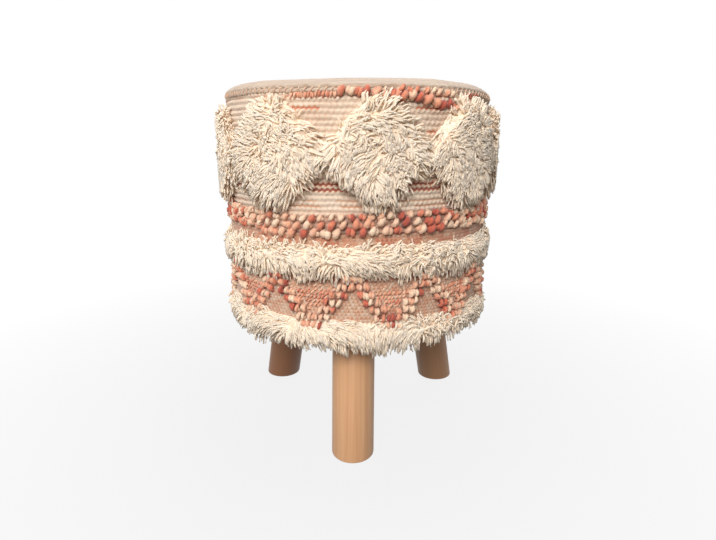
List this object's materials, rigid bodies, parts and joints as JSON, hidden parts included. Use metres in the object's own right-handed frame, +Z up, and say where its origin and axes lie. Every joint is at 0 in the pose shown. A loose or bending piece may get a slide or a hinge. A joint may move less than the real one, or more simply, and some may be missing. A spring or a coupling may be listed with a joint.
{
  "type": "pouf stool",
  "caption": "Round drum stool with a woven and tufted cover, long pile bands, rows of thick loops and splayed round wooden legs.",
  "frame": {"origin": "on the floor, under the middle of the drum", "axes": "+Z up; the front leg points to -Y, and +X is on the right of someone facing the front"},
  "size_m": [0.3686, 0.3686, 0.45],
  "materials": {
    "woven_cover": "matte",
    "woven_top": "matte",
    "ivory_pile": "matte",
    "coral_loops": "matte",
    "foam": "matte",
    "fibreboard": "matte",
    "plywood": "matte",
    "frame_wood": "matte",
    "leg_wood": "satin",
    "dust_cloth": "matte",
    "plate_steel": "satin"
  },
  "bodies": {
    "root": {"cover_side_panel": "woven_cover", "cover_top_panel": "woven_top", "top_seam": "woven_cover", "pile_upper": "ivory_pile", "pile_middle": "ivory_pile", "pile_lower": "ivory_pile", "loop_band": "coral_loops", "loop_zigzag": "coral_loops", "top_loop_row": "coral_loops", "seat_foam": "foam", "side_padding": "foam", "drum_wall": "fibreboard", "base_board": "plywood", "top_board": "plywood", "dust_cover": "dust_cloth", "frame_post_1": "frame_wood", "frame_post_2": "frame_wood", "frame_post_3": "frame_wood", "frame_post_4": "frame_wood", "frame_post_5": "frame_wood", "frame_post_6": "frame_wood", "leg_front": "leg_wood", "leg_plate_front": "plate_steel", "leg_bolt_front": "plate_steel", "leg_right": "leg_wood", "leg_plate_right": "plate_steel", "leg_bolt_right": "plate_steel", "leg_left": "leg_wood", "leg_plate_left": "plate_steel", "leg_bolt_left": "plate_steel"}
  },
  "joints": []
}
